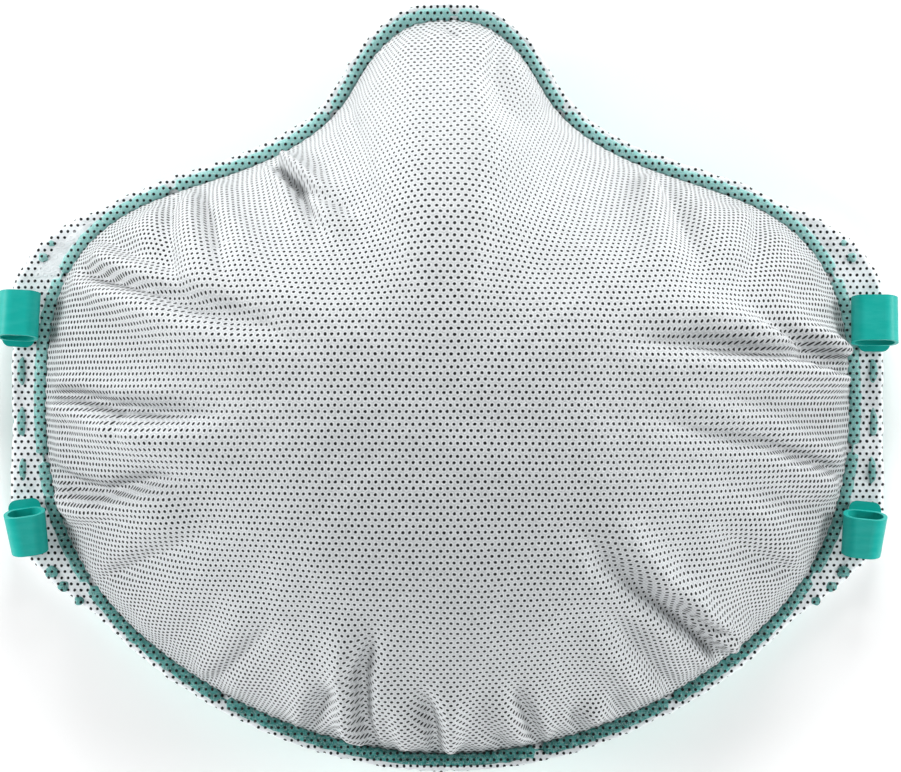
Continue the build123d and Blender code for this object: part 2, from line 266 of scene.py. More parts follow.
def fold_relief(x, y):
    """How far the folds push the cover out of its smooth shape."""
    total = np.zeros_like(x)
    for points, depth, width, bulge in FOLDS:
        line = np.array(points, float)
        spans = np.linalg.norm(np.diff(line, axis=0), axis=1)
        starts = np.concatenate([[0], np.cumsum(spans)])
        best, side, along = np.full(x.shape, FAR), np.zeros_like(x), np.zeros_like(x)
        for a, b, span, start in zip(line[:-1], line[1:], spans, starts):
            way = (b - a) / span
            dx, dy = x - a[0], y - a[1]
            t = dx * way[0] + dy * way[1]
            q = way[0] * dy - way[1] * dx
            held = np.clip(t, 0, span)
            far = np.hypot(t - held, q)
            nearer = far < best
            best = np.where(nearer, far, best)
            side = np.where(nearer, np.sign(q), side)
            along = np.where(nearer, (start + held) / starts[-1], along)
        strength = (0.45 + 0.55 * smooth(0, 0.12, along)) * (1 - smooth(0.5, 1.0, along))
        wide = width * (0.75 + 1.1 * along)
        shape = np.exp(-(best / wide)**2 if not bulge else -(best / wide)**1.5)
        beside = best * side * bulge
        crest = np.exp(-((beside - 2.6 * wide) / (2.0 * wide))**2)
        crest += 0.4 * np.exp(-((beside + 2.4 * wide) / (1.7 * wide))**2)
        total += strength * (-depth * shape + (0.8 * depth * crest if bulge else 0))
    return total


def boxier(swing, power):
    """Sines or cosines bent towards a box: the lower the power, the flatter the sides."""
    return np.sign(swing) * np.abs(swing)**power


# ---- mesh and material helpers -----------------------------------------
def make_mesh(name, points, faces, sheet=None):
    """A new object from points in millimetres, with an optional flat sheet map."""
    mesh = bpy.data.meshes.new(name)
    mesh.from_pydata((np.asarray(points, float) * MM).tolist(), [], faces)
    mesh.update()
    if sheet is not None:
        layer = mesh.uv_layers.new(name="sheet")
        corner = np.zeros(len(mesh.loops), int)
        mesh.loops.foreach_get("vertex_index", corner)
        flat = (sheet[corner] / SHEET_UNIT).astype(np.float32)
        layer.data.foreach_set("uv", flat.ravel())
    mesh.polygons.foreach_set("use_smooth", [True] * len(mesh.polygons))
    made = bpy.data.objects.new(name, mesh)
    bpy.context.scene.collection.objects.link(made)
    return made


def grid_faces(rows, columns, closed_rows=False, closed_columns=False, flip=False):
    """Quads over a grid of points stored row by row."""
    faces = []
    for i in range(rows if closed_rows else rows - 1):
        for j in range(columns if closed_columns else columns - 1):
            k, m = (i + 1) % rows, (j + 1) % columns
            quad = (i * columns + j, i * columns + m, k * columns + m, k * columns + j)
            faces.append(quad[::-1] if flip else quad)
    return faces


def joined(grids):
    """Grids closed round their columns, capped at both ends and joined into one mesh."""
    points, faces, start = [], [], 0
    for grid in grids:
        rows, columns = grid.shape[:2]
        last = (rows - 1) * columns
        made = grid_faces(rows, columns, closed_columns=True, flip=True)
        made += [tuple(range(columns)), tuple(range(last, last + columns))[::-1]]
        faces += [tuple(i + start for i in face) for face in made]
        points.append(grid.reshape(-1, 3))
        start += rows * columns
    return np.vstack(points), faces


def finish_piece(piece, body, slot, material, *nodes):
    """Gives a piece its material and its body, and hides the CAD nodes it stands for; the slot is
    not used.
    """
    piece.data.materials.append(material)
    if nodes:
        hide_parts(*nodes)
    if body:
        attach(piece, body)
    return piece


class Nodes:
    """Short calls that add and join nodes in one material."""

    def __init__(self, name):
        self.material = bpy.data.materials.new(name)
        self.material.use_nodes = True
        self.tree = self.material.node_tree
        self.shader = self.tree.nodes["Principled BSDF"]

    def add(self, kind, *inputs, **settings):
        """A node whose inputs, in order, are numbers, vectors or other sockets."""
        node = self.tree.nodes.new(kind)
        for name, value in settings.items():
            setattr(node, name, value)
        for socket, value in zip(node.inputs, inputs):
            self.join(value, socket)
        return node

    def join(self, value, socket):
        if value is None:
            return
        if isinstance(value, bpy.types.NodeSocket):
            self.tree.links.new(value, socket)
        else:
            socket.default_value = value

    def vector(self, operation, *inputs):
        node = self.add("ShaderNodeVectorMath", operation=operation)
        for socket, value in zip(node.inputs, inputs):
            self.join(value, socket)
        return node.outputs["Value" if operation in ("LENGTH", "DOT_PRODUCT") else "Vector"]

    def math(self, operation, *inputs):
        node = self.add("ShaderNodeMath", operation=operation)
        for socket, value in zip(node.inputs, inputs):
            self.join(value, socket)
        return node.outputs[0]

    def spread(self, value, low, high, to_low=0.0, to_high=1.0):
        """A value stretched smoothly from one range to another."""
        node = self.add("ShaderNodeMapRange", value, low, high, to_low, to_high,
                        interpolation_type="SMOOTHSTEP")
        return node.outputs[0]

    def noise(self, where, scale, detail=3.0, rough=0.5):
        node = self.add("ShaderNodeTexNoise")
        for name, value in (("Vector", where), ("Scale", scale), ("Detail", detail),
                            ("Roughness", rough)):
            self.join(value, node.inputs[name])
        return node.outputs[0]

    def mix(self, share, low, high):
        """A colour between two colours."""
        node = self.add("ShaderNodeMix", data_type="RGBA")
        for name, value in (("Factor", share), ("A", low), ("B", high)):
            socket = next(s for s in node.inputs if s.name == name
                          and (name == "Factor") == (s.type == "VALUE")
                          and s.type in ("VALUE", "RGBA"))
            self.join(value, socket)
        return node.outputs[2]

    def bump(self, height, distance, strength=1.0, under=None):
        """A bump whose distance is in metres."""
        node = self.add("ShaderNodeBump")
        for name, value in (("Height", height), ("Distance", distance), ("Strength", strength),
                            ("Normal", under)):
            self.join(value, node.inputs[name])
        return node.outputs[0]

    def height_on(self, where):
        """How far up towards the nose a place is."""
        return self.add("ShaderNodeSeparateXYZ", where).outputs["Y"]

    def finish(self, colour, roughness, normal=None, **constants):
        """Joins colour, roughness and normal to the shader and sets its plain numbers."""
        self.join(colour, self.shader.inputs["Base Color"])
        self.join(roughness, self.shader.inputs["Roughness"])
        if normal is not None:
            self.join(normal, self.shader.inputs["Normal"])
        for name, value in constants.items():
            self.shader.inputs[name.replace("_", " ")].default_value = value
        return self.material

    def millimetres(self, sheet=False):
        """The place on the surface in millimetres, on the flat sheet or in the object."""
        if sheet:
            where = self.add("ShaderNodeUVMap", uv_map="sheet").outputs[0]
            return self.vector("MULTIPLY", where, (SHEET_UNIT, SHEET_UNIT, 0.0))
        where = self.add("ShaderNodeTexCoord").outputs["Object"]
        return self.vector("MULTIPLY", where, (1 / MM, 1 / MM, 1 / MM))


def dot_distance(nodes, where, pitch, row):
    """Distance in millimetres to the nearest dot of a staggered lattice."""
    size = (pitch, 2 * row, 0.0)
    cell = nodes.vector("DIVIDE", where, (pitch, 2 * row, 1.0))
    near = []
    for shift in (0.0, 0.5):
        moved = nodes.vector("ADD", cell, (shift, shift, 0.0))
        within = nodes.vector("SUBTRACT", nodes.vector("FRACTION", moved), (0.5, 0.5, 0.5))
        near.append(nodes.vector("LENGTH", nodes.vector("MULTIPLY", within, size)))
    return nodes.math("MINIMUM", *near)


def bare_patch(nodes, where, middle, turn, long, wide):
    """A ragged oval in plan, turned by degrees: 1 inside and 0 outside."""
    away = nodes.vector("SUBTRACT", where, (*middle, 0.0))
    c, s = math.cos(math.radians(turn)), math.sin(math.radians(turn))
    along = nodes.vector("DOT_PRODUCT", away, (c / long, s / long, 0.0))
    across = nodes.vector("DOT_PRODUCT", away, (-s / wide, c / wide, 0.0))
    reach = nodes.math("SQRT", nodes.math("ADD", nodes.math("POWER", along, 2.0),
                                          nodes.math("POWER", across, 2.0)))
    ragged = nodes.math("ADD", reach, nodes.noise(where, 0.9, 4.0))
    return nodes.spread(ragged, 1.38, 1.54, 1.0, 0.0)


DOT_WANDER = [(0.34, 0.07), (0.16, 0.7)]   # how far the dots stray from their rows, and how slowly
DOT_WOBBLE = 0.18         # unevenness of a dot's outline
RIM_THICKER = 0.07        # added to a dot's radius where the net bends over to the edge
FIBRE_COLOUR = (0.90, 0.93, 0.94, 1.0)
# Painted highlight: the pale ring round each dot stands in for light catching the net's raised
# relief.
HALO_HIGHLIGHT_COLOUR = (0.95, 0.96, 0.97, 1.0)


def wandering(nodes, where):
    """The place on the surface, pushed about a little, so that no row of dots is straight."""
    moved = where
    for size, scale in DOT_WANDER:
        push = nodes.add("ShaderNodeTexNoise", where)
        push.inputs["Scale"].default_value = scale
        push = nodes.vector("SUBTRACT", push.outputs[1], (0.5, 0.5, 0.5))
        push = nodes.vector("MULTIPLY", push, (size, size, 0.0))
        moved = nodes.vector("ADD", moved, push)
    return moved


def printed_dots(nodes, where, look, sheet):
    """The print's dots and the pale ring round each dot, a painted highlight on the net's raised
    relief, both 1 inside and 0 outside.
    """
    wobble = nodes.math("SUBTRACT", nodes.noise(where, 1.9, 2.0), 0.5)
    away = dot_distance(nodes, wandering(nodes, where), look.dot_pitch, look.dot_row)
    away = nodes.math("ADD", away, nodes.math("MULTIPLY", wobble, DOT_WOBBLE))
    radius = look.dot_size / 2
    if sheet:   # the net is drawn thicker where it bends over to the edge
        rim = nodes.spread(nodes.vector("LENGTH", where), 42.0, 88.0)
        away = nodes.math("SUBTRACT", away, nodes.math("MULTIPLY", rim, RIM_THICKER))
    dot = nodes.spread(away, radius - 0.04, radius + 0.045, 1.0, 0.0)
    if sheet:   # the dots are drawn smaller and fainter over the nose, painted highlight for the strong light there
        nose = nodes.spread(nodes.height_on(where), 26.0, 62.0)
        nose_glare_dot = nodes.spread(away, radius - 0.09, radius + 0.01, 0.9, 0.0)
        dot = nodes.math("ADD", nodes.math("MULTIPLY", dot, nodes.math("SUBTRACT", 1.0, nose)),
                         nodes.math("MULTIPLY", nose_glare_dot, nose))
    # Painted highlight: a pale ring just outside each dot, also used as raised relief in the bump.
    ring = nodes.math("MULTIPLY", nodes.spread(away, radius + 0.02, radius + 0.10),
                      nodes.spread(away, radius + 0.12, radius + 0.34, 1.0, 0.0))
    return dot, ring


def dotted(name, low, high, look, sheet=False, mottle=0.5, gloss=0.6, halo_highlight_share=0.3,
           fibre_share=0.3, nose_lit_colour=None, bare=None):
    """Cloth or plastic seen through the printed net: two base colours under dark dots.

    A bare patch, given by its middle, way, half length and half width, has fluff and no dots.
    """
    nodes = Nodes(name)
    where = nodes.millimetres(sheet)
    blot = nodes.noise(where, 0.9, 3.0)
    dot, halo_relief_and_highlight = printed_dots(nodes, where, look, sheet)
    fibre = nodes.noise(nodes.vector("MULTIPLY", where, (5.0, 1.4, 3.0)), 1.0, 4.0, 0.6)
    cross = nodes.noise(nodes.vector("MULTIPLY", where, (1.3, 5.5, 3.0)), 1.0, 4.0, 0.6)
    weave = nodes.math("MAXIMUM", fibre, cross)
    base = nodes.mix(nodes.spread(blot, 0.5 - mottle / 2, 0.5 + mottle / 2), low, high)
    # Painted light: the base colour is blended paler towards the nose, standing in for the key
    # light falling there.
    if nose_lit_colour:
        lowest = -16.0 if sheet else -70.0
        base = nodes.mix(nodes.spread(nodes.height_on(where), lowest, 36.0), base, nose_lit_colour)
    fibres = nodes.math("MULTIPLY", nodes.spread(weave, 0.5, 0.72), fibre_share)
    base = nodes.mix(fibres, base, FIBRE_COLOUR)
    # Painted highlight: the pale ring round each dot is mixed into the colour.
    base = nodes.mix(nodes.math("MULTIPLY", halo_relief_and_highlight, halo_highlight_share), base, HALO_HIGHLIGHT_COLOUR)
    if bare:
        patch = bare_patch(nodes, where, *bare)
        dot = nodes.math("MULTIPLY", dot, nodes.math("SUBTRACT", 1.0, patch))
        weave = nodes.math("ADD", weave, nodes.math("MULTIPLY", patch, nodes.noise(where, 2.6)))
    colour = nodes.mix(dot, base, (*look.dot_colour, 1.0))
    cloth = nodes.math("ADD", nodes.math("MULTIPLY", halo_relief_and_highlight, 0.35),
                       nodes.math("MULTIPLY", weave, 0.8))
    height = nodes.math("ADD", nodes.math("MULTIPLY", dot, 0.5), cloth)
    normal = nodes.bump(height, 0.00012, 0.8)
    rough = nodes.spread(dot, 0.0, 1.0, gloss, 0.5)
    return nodes.finish(colour, rough, normal, Sheen_Weight=0.08, Sheen_Roughness=0.5,
                        Specular_IOR_Level=0.25)


def soft_cloth(name, colour, shade, grain=2.5, rough=0.85):
    """Plain felted cloth with fine fibres and a slow change of shade."""
    nodes = Nodes(name)
    where = nodes.millimetres()
    fibre = nodes.noise(nodes.vector("MULTIPLY", where, (grain, 0.5 * grain, grain)), 1.0, 6.0, 0.7)
    cloud = nodes.noise(where, 0.08, 2.0)
    tone = nodes.mix(nodes.spread(fibre, 0.3, 0.7), shade, colour)
    tone = nodes.mix(nodes.math("MULTIPLY", nodes.spread(cloud, 0.35, 0.7), 0.25), tone, colour)
    normal = nodes.bump(fibre, 0.00015, 0.7)
    return nodes.finish(tone, nodes.spread(cloud, 0.3, 0.7, rough - 0.06, rough + 0.05), normal,
                        Sheen_Weight=0.2, Sheen_Roughness=0.6)


def moulded(name, colour, worn, rough=0.4, coat=0.06):
    """Satin moulded plastic: slight flow marks, fine speckle and paler handled spots."""
    nodes = Nodes(name)
    where = nodes.millimetres()
    flow = nodes.noise(nodes.vector("MULTIPLY", where, (0.25, 0.9, 0.25)), 1.0, 3.0)
    speck = nodes.noise(where, 6.0, 5.0, 0.65)
    scuff = nodes.noise(nodes.vector("MULTIPLY", where, (1.2, 1.2, 1.2)), 1.0, 6.0, 0.7)
    tone = nodes.mix(nodes.math("MULTIPLY", nodes.spread(flow, 0.35, 0.7), 0.45), colour, worn)
    tone = nodes.mix(nodes.math("MULTIPLY", nodes.spread(scuff, 0.62, 0.75), 0.35), tone, worn)
    height = nodes.math("ADD", nodes.math("MULTIPLY", speck, 0.3), flow)
    normal = nodes.bump(height, 0.00009, 0.55)
    return nodes.finish(tone, nodes.spread(speck, 0.3, 0.7, rough - 0.08, rough + 0.12), normal,
                        Coat_Weight=coat, Coat_Roughness=0.2, Specular_IOR_Level=0.3)


def brushed_metal(name, colour):
    """Rolled aluminium strip."""
    nodes = Nodes(name)
    where = nodes.vector("MULTIPLY", nodes.millimetres(), (0.3, 14.0, 3.0))
    lines = nodes.noise(where, 1.0, 4.0, 0.6)
    tone = nodes.mix(lines, (0.55, 0.56, 0.58, 1.0), (*colour, 1.0))
    return nodes.finish(tone, nodes.spread(lines, 0.3, 0.7, 0.25, 0.45),
                        nodes.bump(lines, 0.00003, 0.5), Metallic=1.0)


def open_foam(name, colour, shade):
    """Soft foam with open cells, their hollows painted darker as shade."""
    nodes = Nodes(name)
    where = nodes.millimetres()
    cells = nodes.add("ShaderNodeTexVoronoi")
    nodes.join(where, cells.inputs["Vector"])
    cells.inputs["Scale"].default_value = 1.6
    pore_depth_and_shade = nodes.spread(cells.outputs["Distance"], 0.12, 0.42)
    # Painted shade: the pores are coloured darker, as shade inside the hollows.
    tone = nodes.mix(pore_depth_and_shade, shade, colour)
    normal = nodes.bump(pore_depth_and_shade, 0.00025, 0.9)
    return nodes.finish(tone, nodes.spread(pore_depth_and_shade, 0.0, 1.0, 0.95, 0.8), normal, Sheen_Weight=0.2)


# ---- settings a user may change ----------------------------------------
def colour_setting(name, default, text):
    return bpy.props.FloatVectorProperty(name=name, description=text, subtype="COLOR", size=3,
                                         min=0, max=1, default=default)


class MaskCoverSettings(bpy.types.PropertyGroup):
    """Printed net and the cloth under it."""
    dot_pitch: bpy.props.FloatProperty(
        name="Dot pitch", description="Distance between dots in a row, in mm",
        default=1.10, min=0.4, max=4)
    dot_row: bpy.props.FloatProperty(
        name="Row spacing", description="Distance between rows of dots, in mm",
        default=1.03, min=0.4, max=4)
    dot_size: bpy.props.FloatProperty(
        name="Dot size", description="Diameter of a dot, in mm", default=0.50, min=0.1, max=1)
    dot_colour: colour_setting("Dots", (0.006, 0.0055, 0.006), "Colour of the printed dots")
    cloth: colour_setting("Cloth", (0.456, 0.48, 0.493), "Colour of the cover between the dots")
    stand_out: bpy.props.FloatProperty(
        name="Stand out", description="Looseness of the cover over the filter, in mm",
        default=1.3, min=0, max=3)
    # Painted light: the cover is coloured paler towards the nose, standing in for the key light
    # falling there.
    cloth_nose_lit: colour_setting("Nose cloth", (0.505, 0.525, 0.535),
                               "Colour of the cover over the nose")
    fold_scale: bpy.props.FloatProperty(
        name="Fold depth", description="Strength of the cover's folds", default=1.45, min=0, max=3)


class MaskTrimSettings(bpy.types.PropertyGroup):
    """Teal mouldings, bead, seal and lining."""
    teal: colour_setting("Guide", (0.0, 0.36, 0.31), "Colour of the strap guides")
    teal_pale: colour_setting("Guide wear", (0.02, 0.42, 0.37), "Paler marks on the guides")
    bead: colour_setting("Bead", (0.006, 0.135, 0.12), "Colour of the weld bead")
    bead_pale: colour_setting("Bead wear", (0.06, 0.33, 0.305), "Paler parts of the bead")
    # Painted light: the bead is coloured paler towards the nose, where the key light falls.
    bead_nose_lit: colour_setting("Bead at nose", (0.25, 0.53, 0.505), "Colour of the bead at the nose")
    seal: colour_setting("Seal", (0.03, 0.34, 0.30), "Colour of the soft face seal")
    lining: colour_setting("Lining", (0.82, 0.83, 0.83), "Colour of the inner lining")
    foam: colour_setting("Foam", (0.10, 0.11, 0.12), "Colour of the nose foam")
    metal: colour_setting("Nose clip", (0.78, 0.79, 0.80), "Colour of the nose clip")


class MaskStageSettings(bpy.types.PropertyGroup):
    """Camera, floor and lights."""
    camera_height: bpy.props.FloatProperty(
        name="Camera height", description="Camera over the floor", default=1.80, unit="LENGTH")
    view_width: bpy.props.FloatProperty(
        name="View width", description="Width seen at the edge's height", default=0.1502,
        unit="LENGTH")
    floor: colour_setting("Floor", (0.97, 0.97, 0.97), "Colour of the floor")
    floor_glow: bpy.props.FloatProperty(
        name="Floor glow", description="Light from under the floor's paper", default=0.14, min=0)
    key_power: bpy.props.FloatProperty(
        name="Key light", description="Power of the main light", default=10.6, unit="POWER")
    ambient: bpy.props.FloatProperty(
        name="Ambient", description="Brightness of the room", default=0.13, min=0)


def cover_look():
    return bpy.context.scene.mask_cover


def trim_look():
    return bpy.context.scene.mask_trim


def opaque(colour):
    return (*colour, 1.0)


def shaded(colour, share):
    return (*(c * share for c in colour), 1.0)


# ---- the cup's cover ---------------------------------------------------
COVER_ROWS = 150
COVER_INNER = 0.012       # share of the way out at which its first ring lies
COVER_END = 0.85          # it stops this far inside the bead's line
RING_SPACING = 0.82       # below 1, rings of points lie closer together towards the edge
PUCKER_HIGH, DRAPE_HIGH = 0.26, 0.34    # short and long waves that run in from the bead
SLACK_HIGH, CREASE_HIGH = 0.12, 0.05    # soft unevenness all over
DEEPEST = -0.3            # the filter under the cover stops its folds here
STOP_SOFT = 4.0           # how sharply it stops them
TUCK_DEEP, TUCK_WIDE = 1.75, 0.8        # dip of the cover beside the bead


def cup_grid(rows, inner, end):
    """Plan points of a cup surface, ring by ring, stopping a distance inside the bead."""
    towards = (RIM * OUTWARD).sum(1)
    outer = 1 - end / towards
    steps = np.linspace(0, 1, rows)**RING_SPACING
    shares = inner + (outer[None, :] - inner) * steps[:, None]
    return RIM[None, :, :] * shares[..., None]


def grid_normals(points):
    """Outward unit normals of a closed ring grid."""
    outwards = np.gradient(points, axis=0)
    along = np.roll(points, -1, 1) - np.roll(points, 1, 1)
    normal = np.cross(along, outwards)
    normal /= np.linalg.norm(normal, axis=2)[..., None]
    return normal * np.sign(normal[..., 2:3].mean())


def cover_points(look):
    """The pressed cover with its folds, puckers and tuck at the bead."""
    plan = cup_grid(COVER_ROWS, COVER_INNER, COVER_END)
    x, y = plan[..., 0], plan[..., 1]
    base = np.dstack([x, y, cup_height(x, y)])
    normal = grid_normals(base)
    inside = inside_distance(plan)
    turn = np.broadcast_to(np.arange(RIM_COUNT) / RIM_COUNT, x.shape)
    edge = smooth(0.8, 5.0, inside)
    relief = fold_relief(x, y) * look.fold_scale
    pucker = waves(turn, 11, 46, 110, 0.3) * np.exp(-inside / 5.0)
    drape = waves(turn, 23, 9, 40, 0.6) * np.exp(-inside / 16.0) * smooth(0, 6, inside)
    soft = cloth_noise(x, y, 5, 17.0) * SLACK_HIGH + cloth_noise(x, y, 7, 6.5) * CREASE_HIGH
    relief = relief + look.fold_scale * (PUCKER_HIGH * pucker + DRAPE_HIGH * drape) + soft
    offset = look.stand_out * edge + relief * smooth(0.6, 3.5, inside)
    low = DEEPEST * smooth(3.0, 9.0, inside)
    over = np.logaddexp(0, STOP_SOFT * (offset - low))
    offset = low + over / STOP_SOFT - math.log(2) / STOP_SOFT
    tuck = TUCK_DEEP * np.exp(-np.clip(inside - COVER_END, 0, None) / TUCK_WIDE)
    points = base + normal * offset[..., None]
    points[..., 2] -= tuck
    return plan, points


class MASK_OT_cover(bpy.types.Operator):
    """Make the printed net cover with its folds."""
    bl_idname = "mask.cover"
    bl_label = "Net cover"

    def execute(self, context):
        look = cover_look()
        plan, points = cover_points(look)
        faces = grid_faces(COVER_ROWS, RIM_COUNT, closed_columns=True, flip=True)
        middle = COVER_ROWS * RIM_COUNT
        flat = np.vstack([points.reshape(-1, 3), points[0].mean(0)])
        faces += [(i, (i + 1) % RIM_COUNT, middle) for i in range(RIM_COUNT)]
        sheet = np.vstack([on_sheet(plan).reshape(-1, 2), [[0.0, 0.0]]])
        cover = make_mesh("net_cover", flat, faces, sheet)
        # Painted light: the cover's colour grows paler towards the nose, where the key light falls.
        material = dotted("printed_net", shaded(look.cloth, 0.93), opaque(look.cloth), look,
                          sheet=True, nose_lit_colour=opaque(look.cloth_nose_lit))
        finish_piece(cover, "mask", "net", material, "outer_net", "outer_cover")
        return {"FINISHED"}


# ---- edge fabric and tabs ----------------------------------------------
EDGE_COLUMNS = 20
CORNER_SOFTEN = 9         # steps of the rim over which a tab's corners are rounded
FRAY_FINE, FRAY_LONG = 0.10, 0.09       # unevenness of the cut edge
RIPPLE_LONG, RIPPLE_FINE = 0.16, 0.12   # unevenness of the loose fabric
WORN_WIDE, WORN_TOP, WORN_LOW = 0.7, 0.22, 0.18   # how the cut edge thins out
BARE_PATCH = {"left": ((-63.0, 22.6), 42.0, 7.0, 1.9), "right": None}


def ray_to_tab(start, way):
    """Distance along a ray from the bead to the tab's outline, or 0 where it misses."""
    side = 1.0 if start[0] >= 0 else -1.0
    corners = np.array(TAB_CORNERS) * (side, 1.0)
    best = 0.0
    for a, b in zip(corners, np.roll(corners, -1, 0)):
        edge = b - a
        cross = way[0] * edge[1] - way[1] * edge[0]
        if abs(cross) < 1e-9:
            continue
        t = ((a[0] - start[0]) * edge[1] - (a[1] - start[1]) * edge[0]) / cross
        u = ((a[0] - start[0]) * way[1] - (a[1] - start[1]) * way[0]) / cross
        if t > 0 and 0 <= u <= 1:
            best = max(best, t)
    return best


def edge_reach():
    """How far the edge fabric runs outside the bead's line, all round."""
    reach = np.array([max(MARGIN, ray_to_tab(p, n)) for p, n in zip(RIM, OUTWARD)])
    kernel = np.hanning(CORNER_SOFTEN) / np.hanning(CORNER_SOFTEN).sum()
    spare = CORNER_SOFTEN // 2
    reach = np.convolve(np.concatenate([reach[-spare:], reach, reach[:spare]]), kernel, "valid")
    turn = np.arange(RIM_COUNT) / RIM_COUNT
    return reach + FRAY_FINE * waves(turn, 31, 60, 230) + FRAY_LONG * waves(turn, 37, 12, 60)


def edge_half(side, reach):
    """Points of the edge fabric on one side: top face, outer edge and underside in one loop."""
    half = RIM_COUNT // 2
    order = np.arange(0, half + 1) if side > 0 else np.arange(half, RIM_COUNT + 1) % RIM_COUNT
    shares = np.linspace(0, 1, EDGE_COLUMNS)
    across = EDGE_IN + (reach[order, None] - EDGE_IN) * shares[None, :]
    plan = RIM[order, None, :] + OUTWARD[order, None, :] * across[..., None]
    turn = np.broadcast_to((order / RIM_COUNT)[:, None], across.shape)
    free = smooth(0.8, 4.0, across)
    ripple = free * (RIPPLE_LONG * waves(turn, 41, 20, 90) + RIPPLE_FINE * cloth_noise(
        plan[..., 0], plan[..., 1], 43, 7.0))
    worn = smooth(reach[order, None] - WORN_WIDE, reach[order, None], across)
    top = edge_height(plan[..., 1], EDGE_TOP) + ripple - WORN_TOP * worn
    low = edge_height(plan[..., 1], SEAL_THICK + CLEAR) + ripple + WORN_LOW * worn
    upper, lower = np.dstack([plan, top]), np.dstack([plan, low])[:, ::-1]
    return np.concatenate([upper, lower], axis=1)


class MASK_OT_edge(bpy.types.Operator):
    """Make the pressed fabric round the cup and the side tabs."""
    bl_idname = "mask.edge"
    bl_label = "Edge fabric and tabs"

    def execute(self, context):
        look = cover_look()
        reach = edge_reach()
        for word, side in (("right", 1), ("left", -1)):
            points, faces = joined([edge_half(side, reach)])
            piece = make_mesh(f"{word}_edge_fabric", points, faces)
            material = dotted(f"{word}_edge_net", shaded(look.cloth, 1.75),
                              shaded(look.cloth, 2.00), look, bare=BARE_PATCH[word])
            finish_piece(piece, None, "cover_fabric", material, "pressed_edge", "net_margin",
                         f"{word}_tab_fabric")
            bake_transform(piece)
        return {"FINISHED"}


# ---- weld bead and spots -----------------------------------------------
BEAD_WIDE, BEAD_HIGH, BEAD_GAP = 2.2, 0.62, 0.55
BEAD_SECTION = 14         # points round the bead
BEAD_BOXY = 0.8
PAD_HIGH, PAD_SUNK, PAD_BOXY = 0.42, 0.08, 0.75


def bead_runs():
    """Stretches of rim indices between the gaps."""
    cuts = sorted(int(((RIM - gap)**2).sum(1).argmin()) for gap in BEAD_GAPS)
    runs = []
    for start, stop in zip(cuts, cuts[1:] + [cuts[0] + RIM_COUNT]):
        runs.append(np.arange(start, stop + 1))
    return runs


def bead_run(order):
    """One rounded stretch of bead, with its ends drawn in."""
    length = (len(order) - 1) * RIM_STEP
    along = np.linspace(0, length, len(order))
    ends = np.minimum(along, length - along) - BEAD_GAP
    keep = ends > -RIM_STEP
    order, ends = order[keep] % RIM_COUNT, np.clip(ends[keep], 0, None)
    fade = np.sqrt(smooth(-0.05, 0.55, ends))
    turn = order / RIM_COUNT
    wide = BEAD_WIDE / 2 * fade * (1 + 0.07 * waves(turn, 51, 70, 220))
    high = BEAD_HIGH * (0.35 + 0.65 * fade) * (1 + 0.10 * waves(turn, 53, 90, 260))
    angles = np.linspace(0, TAU, BEAD_SECTION, endpoint=False)
    across = wide[:, None] * boxier(np.cos(angles), BEAD_BOXY)
    rise = high[:, None] * np.clip(np.sin(angles), -0.35, None)
    plan = RIM[order, None, :] + OUTWARD[order, None, :] * across[..., None]
    height = edge_height(plan[..., 1], EDGE_TOP) + rise
    return np.dstack([plan, height])


def pad_points(x, y, long, wide, rings=6, count=28):
    """A low rounded weld pad standing on the edge."""
    angles = np.linspace(0, TAU, count, endpoint=False)
    shares = np.sin(np.linspace(0.02, 1, rings) * math.pi / 2)
    lift = np.sqrt(1 - (shares * 0.999)**2)
    rough = 1 + 0.05 * np.sin(3 * angles + x) + 0.04 * np.sin(5 * angles + y)
    px = wide / 2 * shares[:, None] * np.cos(angles) * rough
    py = long / 2 * shares[:, None] * boxier(np.sin(angles), PAD_BOXY) * rough
    plan = np.dstack([x + px, y + py])
    base = edge_height(plan[..., 1], EDGE_TOP)
    return np.dstack([plan, base + PAD_HIGH * lift[:, None] - PAD_SUNK])[::-1]


# Weld spots on the right side: place, length and width.
LONG_SPOTS = [(71.0, 2.5, 4.6, 1.35), (71.0, -6.0, 4.8, 1.4), (70.8, -14.0, 4.4, 1.3)]
ROUND_SPOTS = [(66.0, 23.8, 1.2, 1.3), (67.4, 21.4, 1.5, 1.6), (66.0, -31.0, 2.0, 2.2),
               (64.0, -33.4, 1.8, 1.9), (61.4, -35.8, 1.5, 1.6)]


class MASK_OT_welds(bpy.types.Operator):
    """Make the raised bead round the edge and the weld spots on the tabs."""
    bl_idname = "mask.welds"
    bl_label = "Weld bead and spots"

    def execute(self, context):
        look, trim = cover_look(), trim_look()
        # Painted light: the bead's colour grows paler towards the nose, where the key light falls.
        material = dotted("weld_teal", opaque(trim.bead), opaque(trim.bead_pale), look,
                          mottle=0.34, gloss=0.5, halo_highlight_share=0.0, fibre_share=0.35,
                          nose_lit_colour=opaque(trim.bead_nose_lit))
        points, faces = joined([bead_run(order) for order in bead_runs()])
        bead = make_mesh("weld_bead_runs", points, faces)
        finish_piece(bead, "mask", "teal_weld", material, "weld_bead")
        points, faces = joined([pad_points(side * x, y, long, wide)
                                for side in (1, -1) for x, y, long, wide in ROUND_SPOTS])
        round_pads = make_mesh("corner_weld_pads", points, faces)
        finish_piece(round_pads, "mask", "teal_weld", material, "corner_weld_spots")
        for word, side in (("right", 1), ("left", -1)):
            points, faces = joined([pad_points(side * x, y, long, wide)
                                    for x, y, long, wide in LONG_SPOTS])
            piece = make_mesh(f"{word}_weld_pads", points, faces)
            finish_piece(piece, f"{word}_tab", "teal_weld", material, f"{word}_weld_spots")
        return {"FINISHED"}


